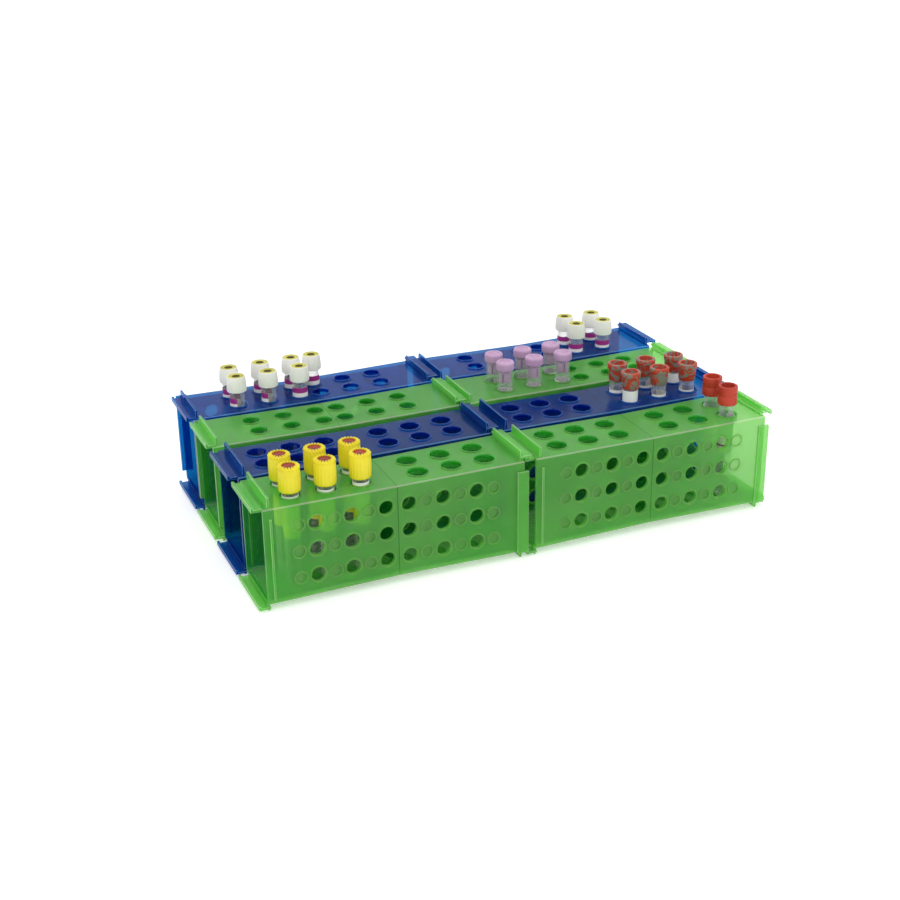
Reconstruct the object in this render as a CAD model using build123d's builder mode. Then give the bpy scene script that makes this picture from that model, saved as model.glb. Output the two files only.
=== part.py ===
# Eight interlocking four-way tube racks in two columns of four, with the 31 stoppered tubes they hold.
# Millimetres, +Z up. The origin is under the middle of the set, on the surface it stands on.
# +X runs along the racks from left to right, and the front row is at -Y.

import os

from build123d import *

os.makedirs("parts", exist_ok=True)

# Rack body: a moulded sleeve, open at both ends, with one web across its middle
rack_length = 216.0
rack_width = 60.0
rack_height = 80.0
wall = 2.4
web = 2.4
waist = 1.2            # how far each wall and plate draws in at the web

# Ridges across the ends of the plates: tall ones on one plate, short ones on the other.
# The tall ridge at the tab's end is set in, which leaves a channel beside the tab's lip.
tall_ridge = 8.0
short_ridge = 6.5
ridge_thickness = 2.5
tall_ridge_inset = 4.2
ridge_margin = 3.5     # from the long walls to the ends of the ridges and the tabs

# End hooks: a tab with a lip turned up, and a raised flange with a lip turned down over it
tab_reach = 8.0
tab_lip_rise = 1.8
hook_lip = 2.2
hook_end_gap = 2.5     # from a tab's lip to the next rack's end
hook_gap = 0.5         # between the two lips when hooked
flange_clearance = 0.6 # between a tab's lip and the flange over it
flange_thickness = 1.8
flange_lip_gap = 0.5
flange_margin = 1.0

# Upright rib and raised tongue on each long wall
rib_from_end = 5.5
rib_thickness = 1.8
rib_proud = 2.0
rib_top_gap = 8.0
rib_bottom_gap = 4.0
tongue_root = 6.6
tongue_reach = 3.2

# Hole patterns: the wide holes and the narrow holes share a pitch, half a step apart
hole_margin = 22.5     # rack length left over at each end of six pitches
plate_row_spacing = 24.0
wall_row_spacing = 22.3
wide_hole = 18.0
narrow_hole_play = 1.4 # a narrow hole is this much wider than a tube
wall_hole = 11.8
wide_hole_sides = 6
narrow_hole_sides = 6
wall_hole_sides = 6

# Gap between the raised tongues of two rows
row_gap = 0.6

# Tubes and what closes them
tube_diameter = 13.0
tube_wall = 1.0
tube_over = 15.0       # how much longer a tube is than the rack is high
tube_sides = 7
seat_gap = 0.3
fit_gap = 0.3

# Each closure's "over" is how much wider it is than the tube. A white cap takes the width it has room for.
yellow_cap_over = 4.0
yellow_cap_above = 7.9
yellow_cap_skirt = 14.5

white_cap_gap = 1.2     # between the two white caps nearest the web
white_cap_taper = 1.4
white_cap_above = 9.6
white_cap_skirt = 5.4

lilac_head_over = 3.9
lilac_head = 9.4
lilac_plug = 8.5

marbled_head_over = 4.2
marbled_head = 5.3
marbled_above = 8.6
marbled_skirt_over = 2.2
marbled_skirt = 4.9

red_cap_over = 3.6
red_cap_above = 8.2
red_cap_skirt = 8.1

# Sizes that follow from the ones above; the heights are for a rack that stands on its short ridges
hole_pitch = (rack_length - 2 * hole_margin) / 6
narrow_hole = tube_diameter + narrow_hole_play
tube_length = rack_height + tube_over
ridge_width = rack_width - 2 * ridge_margin
flange_width = rack_width - 2 * flange_margin
flange_lift = tab_lip_rise + flange_clearance
flange_reach = hook_end_gap + 2 * hook_lip + hook_gap
column_pitch = rack_length + tab_reach + hook_end_gap
row_pitch = rack_width + 2 * rib_proud + row_gap
envelope_height = short_ridge + rack_height + tall_ridge
plate_middle = short_ridge + rack_height / 2
half_length = rack_length / 2
half_height = rack_height / 2
half_width = rack_width / 2
bore = tube_diameter - 2 * tube_wall


def along_rack(offset):
    """Six places along a rack: three at each side of the web, one pitch apart."""
    right = [offset + step * hole_pitch for step in range(3)]
    return [-place for place in reversed(right)] + right


narrow_places = along_rack(hole_pitch / 3)
wide_places = along_rack(hole_pitch * 5 / 6)
plate_rows = (-plate_row_spacing / 2, plate_row_spacing / 2)
wall_rows = (-wall_row_spacing, 0, wall_row_spacing)


front_view = Plane(origin=(0, 0, plate_middle), x_dir=(1, 0, 0), z_dir=(0, -1, 0))


def drawn_in_block(inset, web_half):
    """A block that narrows towards the web in width and in height, as its two halves."""
    views = (
        (Plane.XY.offset(plate_middle), half_width - inset, half_height, Mode.ADD),
        (front_view, half_height - inset, half_width, Mode.INTERSECT),
    )
    with BuildPart() as block:
        for view, half_depth, reach, mode in views:
            narrow = half_depth - waist
            with BuildSketch(view):
                for side in (-1, 1):
                    near, far = side * web_half, side * half_length
                    with BuildLine():
                        Polyline((near, -narrow), (far, -half_depth), (far, half_depth), (near, narrow),
                                 close=True)
                    make_face()
            extrude(amount=reach, both=True, mode=mode)
    return block.part


def floor_rise(place):
    """How far the drawn-in floor has risen under the inner edge of a tube at this place."""
    inner_edge = abs(place) - tube_diameter / 2
    return waist * (1 - inner_edge / half_length)


def save(piece, name):
    """Label a finished piece and write it as one node."""
    piece.part.label = name
    export_step(piece.part, f"parts/{name}.step")


def make_rack():
    sleeve = drawn_in_block(0, 0)
    compartments = drawn_in_block(wall, web / 2)
    with BuildPart() as rack:
        # Sleeve, drawn in a little at the middle, less its two compartments
        add(sleeve)
        add(compartments, mode=Mode.SUBTRACT)

        # Wide holes in the upper plate, narrow ones in the lower, half a step apart
        with BuildSketch(Plane.XY.offset(plate_middle)):
            with Locations(*[(x, y) for x in wide_places for y in plate_rows]):
                RegularPolygon(wide_hole / 2, wide_hole_sides, major_radius=False,
                               rotation=180 / wide_hole_sides)
        extrude(amount=rack_height, mode=Mode.SUBTRACT)
        with BuildSketch(Plane.XY.offset(plate_middle)):
            with Locations(*[(x, y) for x in narrow_places for y in plate_rows]):
                RegularPolygon(narrow_hole / 2, narrow_hole_sides, major_radius=False)
        extrude(amount=-rack_height, mode=Mode.SUBTRACT)

        # Small holes through the front wall, for the rack lying on its back
        with BuildSketch(front_view):
            with Locations(*[(x, z) for x in narrow_places for z in wall_rows]):
                RegularPolygon(wall_hole / 2, wall_hole_sides, major_radius=False)
        extrude(amount=rack_width, mode=Mode.SUBTRACT)

        # Ridges and hooks: the lower set is the upper one turned half round the Y axis,
        # with short ridges, both of them at the very ends
        for x_dir, ridge, inset in (((1, 0, 0), tall_ridge, tall_ridge_inset), ((-1, 0, 0), short_ridge, 0)):
            side_view = Plane(origin=(0, 0, plate_middle), x_dir=x_dir, z_dir=(0, -1, 0))
            tab_end = -half_length - tab_reach
            flange_end = half_length + flange_reach
            flange_under = half_height + flange_lift
            flange_top = flange_under + flange_thickness
            ridge_top = half_height + ridge
            with BuildSketch(side_view):
                with BuildLine():
                    Polyline(
                        (-half_length, half_height - wall),
                        (tab_end, half_height - wall),
                        (tab_end, half_height + tab_lip_rise),
                        (tab_end + hook_lip, half_height + tab_lip_rise),
                        (tab_end + hook_lip, half_height),
                        (-half_length, half_height),
                        close=True,
                    )
                make_face()
                for outer_face in (-half_length + inset, half_length - ridge_thickness):
                    with Locations((outer_face, half_height - wall / 2)):
                        Rectangle(ridge_thickness, ridge_top - half_height + wall / 2,
                                  align=(Align.MIN, Align.MIN))
            extrude(amount=ridge_width / 2, both=True)
            with BuildSketch(side_view):
                with BuildLine():
                    Polyline(
                        (half_length - ridge_thickness, flange_under),
                        (half_length - ridge_thickness, flange_top),
                        (flange_end, flange_top),
                        (flange_end, half_height + flange_lip_gap),
                        (flange_end - hook_lip, half_height + flange_lip_gap),
                        (flange_end - hook_lip, flange_under),
                        close=True,
                    )
                make_face()
            extrude(amount=flange_width / 2, both=True)

        # Upright rib near one end of each long wall, and a raised tongue that runs past the other end
        rib_height = rack_height - rib_top_gap - rib_bottom_gap
        tongue_height = rack_height - rib_top_gap
        floor_plan = Plane.XY.offset(short_ridge)
        for side in (-1, 1):
            with BuildSketch(floor_plan.offset(rib_bottom_gap)):
                with Locations((-half_length + rib_from_end, side * (half_width - wall / 2))):
                    Rectangle(rib_thickness, wall / 2 + rib_proud,
                              align=(Align.CENTER, Align.MIN if side > 0 else Align.MAX))
            extrude(amount=rib_height)
            with BuildSketch(floor_plan):
                with Locations((half_length - tongue_root, side * (half_width - wall / 4))):
                    Rectangle(tongue_root + tongue_reach, wall / 4 + rib_proud,
                              align=(Align.MIN, Align.MIN if side > 0 else Align.MAX))
            extrude(amount=tongue_height)
    return rack.part


def make_tube():
    """An empty tube with a flat foot, standing on z = 0."""
    with BuildPart() as tube:
        with BuildSketch(Plane.XY):
            RegularPolygon(tube_diameter / 2, tube_sides)
        extrude(amount=tube_length)
        with BuildSketch(Plane.XY.offset(tube_wall)):
            RegularPolygon(bore / 2, tube_sides)
        extrude(amount=tube_length, mode=Mode.SUBTRACT)
    return tube.part


def make_cap(foot, top, above, skirt):
    """A cap over the tube's rim, which it rests on from inside. The rim is at z = 0."""
    with BuildPart() as cap:
        with BuildSketch(Plane.XY.offset(-skirt)):
            RegularPolygon(foot / 2, tube_sides)
        with BuildSketch(Plane.XY.offset(above)):
            RegularPolygon(top / 2, tube_sides)
        loft(ruled=True)
        with BuildSketch(Plane.XY):
            RegularPolygon(tube_diameter / 2 + fit_gap, tube_sides)
        extrude(amount=-skirt, mode=Mode.SUBTRACT)
    return cap.part


def make_plug_stopper():
    """A stopper whose head sits on the rim and whose plug goes down the bore."""
    with BuildPart() as stopper:
        with BuildSketch(Plane.XY):
            RegularPolygon((tube_diameter + lilac_head_over) / 2, tube_sides)
        extrude(amount=lilac_head)
        with BuildSketch(Plane.XY):
            RegularPolygon(bore / 2 - fit_gap, tube_sides)
        extrude(amount=-lilac_plug)
    return stopper.part


def make_stepped_stopper():
    """A stopper with a wide head over a narrower skirt that goes over the rim."""
    with BuildPart() as stopper:
        with BuildSketch(Plane.XY.offset(marbled_above - marbled_head)):
            RegularPolygon((tube_diameter + marbled_head_over) / 2, tube_sides)
        extrude(amount=marbled_head)
        with BuildSketch(Plane.XY.offset(-marbled_skirt)):
            RegularPolygon((tube_diameter + marbled_skirt_over) / 2, tube_sides)
        extrude(amount=marbled_skirt + marbled_above - marbled_head)
        with BuildSketch(Plane.XY):
            RegularPolygon(tube_diameter / 2 + fit_gap, tube_sides)
        extrude(amount=-marbled_skirt, mode=Mode.SUBTRACT)
    return stopper.part


def place_at(x, y, z, flipped=False):
    """A place in the set. A flipped piece is turned half round the Y axis at its own origin."""
    return Location((x, y, z), (0, 180, 0)) if flipped else Location((x, y, z))


# Where each rack stands. The two back rows lie the other way up, on their tall ridges.
columns = {"left": -column_pitch / 2, "right": column_pitch / 2}
rows = {
    "front": (-1.5 * row_pitch, False),
    "third": (-0.5 * row_pitch, False),
    "second": (0.5 * row_pitch, True),
    "back": (1.5 * row_pitch, True),
}

rack_shape = make_rack()
for row, (y, flipped) in rows.items():
    for column, x in columns.items():
        name = f"{row}_{column}_rack"
        with BuildPart() as rack:
            with Locations(place_at(x, y, envelope_height if flipped else 0, flipped)):
                add(rack_shape)
        save(rack, name)

# Which hole of which rack each tube stands in: holes count from the left, rows from the front
tube_shape = make_tube()
yellow_width = tube_diameter + yellow_cap_over
white_foot = narrow_places[3] - narrow_places[2] - white_cap_gap
red_width = tube_diameter + red_cap_over
yellow_cap = make_cap(yellow_width, yellow_width, yellow_cap_above, yellow_cap_skirt)
white_cap = make_cap(white_foot, white_foot - white_cap_taper, white_cap_above, white_cap_skirt)
red_cap = make_cap(red_width, red_width, red_cap_above, red_cap_skirt)
lilac_stopper = make_plug_stopper()
marbled_stopper = make_stepped_stopper()

front_row, back_row = 0, 1
both_rows = (back_row, front_row)
tube_sets = [
    ("yellow", "cap", yellow_cap, "front", "left", [(hole, line) for line in both_rows for hole in (1, 2, 3)]),
    ("red", "cap", red_cap, "front", "right", [(6, back_row), (6, front_row)]),
    ("marbled", "stopper", marbled_stopper, "third", "right",
     [(hole, line) for line in both_rows for hole in (4, 5, 6)]),
    ("lilac", "stopper", lilac_stopper, "second", "right",
     [(hole, line) for line in both_rows for hole in (1, 2, 3)]),
    ("white", None, white_cap, "back", "left",
     [(1, back_row), (2, back_row), (3, back_row), (4, back_row), (1, front_row), (2, front_row), (3, front_row)]),
    ("white", None, white_cap, "back", "right", [(5, back_row), (6, back_row), (5, front_row), (6, front_row)]),
]

made = {}
for colour, closure_word, closure, row, column, holes in tube_sets:
    row_y, flipped = rows[row]
    floor = (tall_ridge if flipped else short_ridge) + wall
    places = narrow_places if flipped else wide_places
    for hole, line in holes:
        number = made[colour] = made.get(colour, 0) + 1
        x = columns[column] + places[hole - 1]
        y = row_y + plate_rows[line]
        foot = floor + floor_rise(places[hole - 1]) + seat_gap
        rim = foot + tube_length
        if closure_word is None:
            # Tube and cap share one node here, as two separate solids
            with BuildPart() as capped_tube:
                with Locations(place_at(x, y, foot)):
                    add(tube_shape)
                with Locations(place_at(x, y, rim)):
                    add(closure)
            save(capped_tube, f"{colour}_capped_tube_{number}")
            continue
        with BuildPart() as tube:
            with Locations(place_at(x, y, foot)):
                add(tube_shape)
        save(tube, f"{colour}_tube_{number}")
        with BuildPart() as stopper:
            with Locations(place_at(x, y, rim)):
                add(closure)
        save(stopper, f"{colour}_{closure_word}_{number}")
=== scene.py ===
import math
import random

import bmesh
import bpy
import numpy as np
from mathutils import Matrix, Vector


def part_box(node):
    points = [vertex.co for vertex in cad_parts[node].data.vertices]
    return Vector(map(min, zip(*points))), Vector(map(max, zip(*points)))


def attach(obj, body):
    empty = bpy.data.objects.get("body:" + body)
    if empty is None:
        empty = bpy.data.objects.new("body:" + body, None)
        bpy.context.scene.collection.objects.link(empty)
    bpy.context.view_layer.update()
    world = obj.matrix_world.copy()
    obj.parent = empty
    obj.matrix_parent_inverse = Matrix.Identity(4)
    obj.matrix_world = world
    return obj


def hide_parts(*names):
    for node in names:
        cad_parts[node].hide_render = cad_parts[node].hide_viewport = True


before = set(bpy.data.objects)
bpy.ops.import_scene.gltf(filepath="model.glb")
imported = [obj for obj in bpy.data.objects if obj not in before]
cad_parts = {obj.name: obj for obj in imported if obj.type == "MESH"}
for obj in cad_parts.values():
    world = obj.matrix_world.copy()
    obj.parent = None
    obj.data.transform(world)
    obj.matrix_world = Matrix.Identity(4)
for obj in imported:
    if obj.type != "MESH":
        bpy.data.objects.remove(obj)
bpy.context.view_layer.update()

# Sizes are written in millimetres and brought to metres with mm
mm = 0.001
scene = bpy.context.scene

# How the racks stand; the two back rows lie the other way up
layout = dict(
    columns=dict(left=-113.25, right=113.25),
    rows=dict(front=(-96.9, False), third=(-32.3, False), second=(32.3, True), back=(96.9, True)),
    plateMiddle=46.5,
    envelope=94.5,
    pitch=28.5,
    plateRow=12.0,
)


def alongRack(offset):
    right = [offset + step * layout["pitch"] for step in range(3)]
    return [-place for place in reversed(right)] + right


narrowPlaces = alongRack(layout["pitch"] / 3)
widePlaces = alongRack(layout["pitch"] * 5 / 6)


def seen(red, green, blue):
    # a colour as it shows on a screen, 0 to 255, in the renderer's own scale
    parts = [c / 255 for c in (red, green, blue)]
    return tuple(c / 12.92 if c < 0.04 else ((c + 0.055) / 1.055) ** 2.4 for c in parts) + (1.0,)


def addNode(tree, kind, inputs=None, **settings):
    node = tree.nodes.new(kind)
    for name, value in settings.items():
        setattr(node, name, value)
    for name, value in (inputs or {}).items():
        if isinstance(value, bpy.types.NodeSocket):
            tree.links.new(value, node.inputs[name])
        else:
            node.inputs[name].default_value = value
    return node


def calc(tree, operation, first, second=0.0):
    return addNode(tree, "ShaderNodeMath", {0: first, 1: second}, operation=operation).outputs[0]


def newTree(name, kind, inputs, outputs):
    tree = bpy.data.node_groups.new(name, kind)
    for direction, sockets in (("INPUT", inputs), ("OUTPUT", outputs)):
        for label, socket in sockets.items():
            form, start = socket if isinstance(socket, tuple) else (socket, None)
            made = tree.interface.new_socket(label, in_out=direction, socket_type="NodeSocket" + form)
            if start is not None:
                made.default_value = start
    return tree, tree.nodes.new("NodeGroupInput").outputs, tree.nodes.new("NodeGroupOutput").inputs


def setInputs(modifier, values):
    for item in modifier.node_group.interface.items_tree:
        if item.item_type == "SOCKET" and item.in_out == "INPUT" and item.name in values:
            modifier[item.identifier] = values[item.name]


def grownMesh(name, startMesh, tree, values):
    # runs a Geometry Nodes tree once and keeps the plain mesh
    holder = bpy.data.objects.new(name, startMesh)
    scene.collection.objects.link(holder)
    modifier = holder.modifiers.new(name, "NODES")
    modifier.node_group = tree
    setInputs(modifier, values)
    grown = bpy.data.meshes.new_from_object(holder.evaluated_get(bpy.context.evaluated_depsgraph_get()))
    holder.modifiers.remove(modifier)
    bpy.data.objects.remove(holder)
    grown.name = name
    return grown


cloudShape = dict(detail=3.0, grainDetail=2.0, darkest=0.3, palest=0.7, bumpDepth=0.2 * mm)

# what the mark on a face stands for, and how near the mark has to be: painted shade on the inside, round the
# plate holes and along the crease, painted light on the seats and hole rims, and at the top a painted highlight
# on rounded edges, painted shade in cap hollows and the print on labels
paintedLightAndPrintMarks = dict(inside=0.125, collar=0.25, seat=0.5, crease=0.75, edge=1.0)
paintedLightAndPrintSockets = {name: name.capitalize() + " Colour" for name in paintedLightAndPrintMarks}
paintedLightAndPrintNear = 0.1


def finishTree(tree, shapes, material, result):
    # the end of every modelling tree: real meshes, with their material
    solid = addNode(tree, "GeometryNodeRealizeInstances", {0: shapes}).outputs[0]
    painted = addNode(tree, "GeometryNodeSetMaterial", {"Geometry": solid, "Material": material}).outputs[0]
    tree.links.new(painted, result)


def makeCloudGroup():
    # slow clouds between two colours, with a fine grain for the gloss and the bump
    tree, given, out = newTree("mouldedCloud", "ShaderNodeTree", {
        "Low Colour": "Color", "High Colour": "Color", "Cloud Scale": ("Float", 20.0),
        "Grain Scale": ("Float", 900.0), "Roughness": ("Float", 0.35), "Roughness Swing": ("Float", 0.1),
    }, {"Colour": "Color", "Roughness": "Float", "Height": "Float"})
    place = addNode(tree, "ShaderNodeTexCoord").outputs["Object"]
    cloud = addNode(tree, "ShaderNodeTexNoise", {
        "Vector": place, "Scale": given["Cloud Scale"], "Detail": cloudShape["detail"]}).outputs[0]
    grain = addNode(tree, "ShaderNodeTexNoise", {
        "Vector": place, "Scale": given["Grain Scale"], "Detail": cloudShape["grainDetail"]}).outputs[0]
    spread = addNode(tree, "ShaderNodeMapRange", {
        "Value": cloud, "From Min": cloudShape["darkest"], "From Max": cloudShape["palest"]}).outputs[0]
    colour = addNode(tree, "ShaderNodeMix", {0: spread, 6: given["Low Colour"], 7: given["High Colour"]},
                     data_type="RGBA").outputs[2]
    tree.links.new(colour, out["Colour"])
    swing = calc(tree, "MULTIPLY", calc(tree, "SUBTRACT", grain, 0.5), given["Roughness Swing"])
    tree.links.new(calc(tree, "ADD", given["Roughness"], swing), out["Roughness"])
    tree.links.new(grain, out["Height"])
    return tree


def makePaintedLightAndPrintGroup():
    # gives the faces that carry a mark the colour of that mark; these colours paint shade, light and
    # highlights, and the print on labels
    sockets = {"Colour": "Color"}
    sockets.update({socket: "Color" for socket in paintedLightAndPrintSockets.values()})
    tree, given, out = newTree("paintedLightAndPrintColours", "ShaderNodeTree", sockets, {"Colour": "Color"})
    mark = addNode(tree, "ShaderNodeAttribute", attribute_name="paintedLightAndPrint").outputs["Fac"]
    last = given["Colour"]
    for name, level in paintedLightAndPrintMarks.items():
        here = addNode(tree, "ShaderNodeMath", {0: mark, 1: level, 2: paintedLightAndPrintNear}, operation="COMPARE").outputs[0]
        last = addNode(tree, "ShaderNodeMix", {0: here, 6: last, 7: given[paintedLightAndPrintSockets[name]]},
                       data_type="RGBA").outputs[2]
    tree.links.new(last, out["Colour"])
    return tree


cloudGroup = makeCloudGroup()
paintedLightAndPrintGroup = makePaintedLightAndPrintGroup()


def newMaterial(name):
    material = bpy.data.materials.new(name)
    material.use_nodes = True
    tree = material.node_tree
    tree.nodes.clear()
    surface = tree.nodes.new("ShaderNodeBsdfPrincipled")
    tree.links.new(surface.outputs[0], tree.nodes.new("ShaderNodeOutputMaterial").inputs[0])
    return material, tree, surface


def useCloud(tree, surface, look):
    cloud = addNode(tree, "ShaderNodeGroup", node_tree=cloudGroup)
    for socket, value in (("Low Colour", "low"), ("High Colour", "high"), ("Cloud Scale", "cloud"),
                          ("Grain Scale", "grain"), ("Roughness", "roughness"), ("Roughness Swing", "swing")):
        cloud.inputs[socket].default_value = look[value]
    tree.links.new(cloud.outputs["Roughness"], surface.inputs["Roughness"])
    if look["bump"]:
        relief = addNode(tree, "ShaderNodeBump", {
            "Height": cloud.outputs["Height"], "Strength": look["bump"], "Distance": cloudShape["bumpDepth"]})
        tree.links.new(relief.outputs[0], surface.inputs["Normal"])
    return cloud.outputs["Colour"]


def usePaintedLightAndPrint(tree, surface, colour, paintedLightAndPrintColours):
    paintedLightAndPrint = addNode(tree, "ShaderNodeGroup", {"Colour": colour}, node_tree=paintedLightAndPrintGroup)
    for name, socket in paintedLightAndPrintSockets.items():
        paintedLightAndPrint.inputs[socket].default_value = paintedLightAndPrintColours[name]
    tree.links.new(paintedLightAndPrint.outputs["Colour"], surface.inputs["Base Color"])


def byAngle(tree, blend, facing, grazing):
    # a factor that goes from one value, seen square on, to another along the outline
    turned = addNode(tree, "ShaderNodeLayerWeight", {"Blend": blend}).outputs["Facing"]
    return addNode(tree, "ShaderNodeMapRange", {
        "Value": turned, "To Min": facing, "To Max": grazing}).outputs[0]


rackPlastic = dict(cloud=14.0, grain=160.0, swing=0.1, bump=0.04, ior=1.49, scatterDepth=0.006, angleBlend=0.4)
# the inside, collar and crease colours are painted shade, the seat colour is painted light on the seats and
# hole rims, and the edge colour is a painted highlight on rounded edges
greenLook = dict(
    rackPlastic, low=seen(116, 212, 98), high=seen(144, 228, 118), edge=seen(230, 255, 208),
    seat=seen(146, 220, 118), inside=seen(20, 138, 74), collar=seen(44, 154, 74), crease=seen(104, 184, 84),
    tint=(0.68, 0.93, 0.57, 1), milk=0.28, milkEdge=0.5, glow=(0.5, 1.0, 0.3), roughness=0.22, gloss=0.5)
blueLook = dict(
    rackPlastic, low=seen(8, 60, 134), high=seen(16, 76, 158), edge=seen(116, 166, 228),
    seat=seen(60, 118, 200), inside=seen(2, 36, 104), collar=seen(4, 44, 136), crease=seen(8, 50, 128),
    tint=(0.1, 0.52, 0.86, 1), milk=0.34, milkEdge=0.55, glow=(0.2, 0.5, 1.0), roughness=0.18, gloss=0.42)


def makePolypropylene(name, look):
    # milky plastic over a clear tint, so that what lies behind a wall shows through in its colour
    material, tree, surface = newMaterial(name)
    # the marked faces take painted shade, painted light and painted highlight colours
    usePaintedLightAndPrint(tree, surface, useCloud(tree, surface, look), look)
    surface.inputs["IOR"].default_value = look["ior"]
    surface.inputs["Specular IOR Level"].default_value = look["gloss"]
    surface.inputs["Subsurface Weight"].default_value = 1.0
    surface.inputs["Subsurface Radius"].default_value = look["glow"]
    surface.inputs["Subsurface Scale"].default_value = look["scatterDepth"]
    clear = addNode(tree, "ShaderNodeBsdfTransparent", {"Color": look["tint"]})
    milk = byAngle(tree, look["angleBlend"], look["milk"], look["milkEdge"])
    both = addNode(tree, "ShaderNodeMixShader", {0: milk, 1: clear.outputs[0], 2: surface.outputs[0]})
    tree.links.new(both.outputs[0], tree.nodes["Material Output"].inputs[0])
    return material


solidPlastic = dict(cloud=60.0, grain=1500.0, swing=0.1, bump=0.1)


def makeSolid(name, low, high, roughness, mark=None, bump=solidPlastic["bump"]):
    look = dict(solidPlastic, low=low, high=high, roughness=roughness, bump=bump)
    material, tree, surface = newMaterial(name)
    # marked faces take the mark colour: print on the labels, painted shade in the hollow of a cap
    usePaintedLightAndPrint(tree, surface, useCloud(tree, surface, look), dict.fromkeys(paintedLightAndPrintMarks, mark or high))
    return material


marbledLook = dict(
    low=seen(166, 48, 24), high=seen(194, 66, 36), cloud=90.0, grain=1500.0, roughness=0.5, swing=0.1, bump=0.1,
    vein=seen(126, 122, 110), scale=110.0, detail=1.5, pull=2.2, split=0.52, blur=0.02)


def makeMarbled(name, look):
    # two rubbers swirled together before they were moulded
    material, tree, surface = newMaterial(name)
    rubber = useCloud(tree, surface, look)
    place = addNode(tree, "ShaderNodeTexCoord").outputs["Object"]
    swirl = addNode(tree, "ShaderNodeTexNoise", {
        "Vector": place, "Scale": look["scale"], "Detail": look["detail"],
        "Distortion": look["pull"]}).outputs[0]
    sides = addNode(tree, "ShaderNodeMapRange", {
        "Value": swirl, "From Min": look["split"] - look["blur"],
        "From Max": look["split"] + look["blur"]}).outputs[0]
    colour = addNode(tree, "ShaderNodeMix", {0: sides, 6: rubber, 7: look["vein"]}, data_type="RGBA")
    tree.links.new(colour.outputs[2], surface.inputs["Base Color"])
    return material


glassLook = dict(low=seen(214, 220, 218), high=seen(236, 240, 238), cloud=40.0, grain=300.0, roughness=0.04,
                 swing=0.03, bump=0.0, angleBlend=0.35, clear=0.05, rim=0.42, ior=1.5)


def makeGlass(name, look):
    material, tree, surface = newMaterial(name)
    tree.links.new(useCloud(tree, surface, look), surface.inputs["Base Color"])
    tree.links.new(byAngle(tree, look["angleBlend"], look["clear"], look["rim"]), surface.inputs["Alpha"])
    surface.inputs["IOR"].default_value = look["ior"]
    return material


finishes = dict(
    green=makePolypropylene("greenPolypropylene", greenLook),
    blue=makePolypropylene("bluePolypropylene", blueLook),
    glass=makeGlass("tubeGlass", glassLook),
    label=makeSolid("labelPaper", seen(232, 232, 226), seen(246, 246, 242), 0.55, seen(160, 40, 130), 0.05),
    yellowLabel=makeSolid("yellowLabelPaper", seen(236, 236, 230), seen(248, 248, 244), 0.55,
                          seen(244, 228, 84), 0.05),
    yellow=makeSolid("yellowCapPlastic", seen(224, 208, 24), seen(238, 222, 42), 0.38),
    # the mark colour of the dark red centre is painted shade in its hollow middle
    darkRed=makeSolid("darkRedRubber", seen(134, 32, 16), seen(168, 50, 28), 0.45, seen(84, 14, 10)),
    white=makeSolid("whiteCapPlastic", seen(236, 235, 226), seen(246, 245, 240), 0.42),
    # the mark colour of the olive insert is painted shade in its hollow middle
    olive=makeSolid("oliveRubber", seen(176, 172, 58), seen(204, 198, 82), 0.5, seen(84, 78, 34)),
    lilac=makeSolid("lilacRubber", seen(180, 142, 180), seen(200, 164, 198), 0.5),
    marbled=makeMarbled("marbledRubber", marbledLook),
    red=makeSolid("redRubber", seen(160, 38, 18), seen(190, 56, 28), 0.5),
)
print("materials made")


def meshFrom(bm, name):
    mesh = bpy.data.meshes.new(name)
    bm.to_mesh(mesh)
    bm.free()
    return mesh


def lathe(profile, segments):
    # turns a closed outline of (radius, height) in millimetres round Z; ends at radius 0 become poles
    bm = bmesh.new()
    rings = []
    for radius, height in profile:
        if radius == 0:
            rings.append([bm.verts.new((0, 0, height * mm))])
            continue
        turns = [2 * math.pi * k / segments for k in range(segments)]
        rings.append([bm.verts.new((radius * mm * math.cos(a), radius * mm * math.sin(a), height * mm))
                      for a in turns])
    loops = list(zip(rings, rings[1:]))
    if len(rings[0]) > 1:
        loops.append((rings[-1], rings[0]))
    for low, high in loops:
        for k in range(segments):
            nextK = (k + 1) % segments
            corners = [low[k % len(low)], low[nextK % len(low)], high[nextK % len(high)], high[k % len(high)]]
            bm.faces.new(list(dict.fromkeys(corners)))
    bmesh.ops.recalc_face_normals(bm, faces=bm.faces)
    return bm


def markFaces(mesh, values):
    layer = mesh.attributes.get("paintedLightAndPrint") or mesh.attributes.new("paintedLightAndPrint", "FLOAT", "FACE")
    layer.data.foreach_set("value", np.asarray(values, np.float32))


def addPiece(name, mesh, material, body, nodes=(), angle=35):
    mesh.materials.clear()
    mesh.materials.append(material)
    if angle:
        mesh.shade_smooth()
        mesh.set_sharp_from_angle(angle=math.radians(angle))
    piece = bpy.data.objects.new(name, mesh)
    scene.collection.objects.link(piece)
    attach(piece, body)
    if nodes:
        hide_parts(*nodes)
    return piece


def placed(mesh, move, name):
    copy = mesh.copy()
    copy.name = name
    copy.transform(move)
    return copy


rackSizes = {
    "Half Length": 108.0, "Half Width": 30.0, "Half Height": 40.0, "Wall": 2.4, "Waist": 1.2,
    "Pitch": 28.5, "Plate Row Spacing": 24.0, "Wall Row Spacing": 22.3,
    "Wide Hole": 18.0, "Narrow Hole": 14.4, "Wall Hole": 11.8, "Seat": 8.6, "Seat Depth": 0.9,
    "Wide Inset": 1.2, "Narrow Inset": 0.35, "Wall Inset": 0.0,
    "Collar": 1.5, "Wall Collar Rise": 0.45, "Plate Collar Rise": 1.1,
    "Wall Collar Drop": 1.2, "Plate Collar Drop": 3.6, "Cut Beyond": 3.0,
}
holeSides = 32
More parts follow.
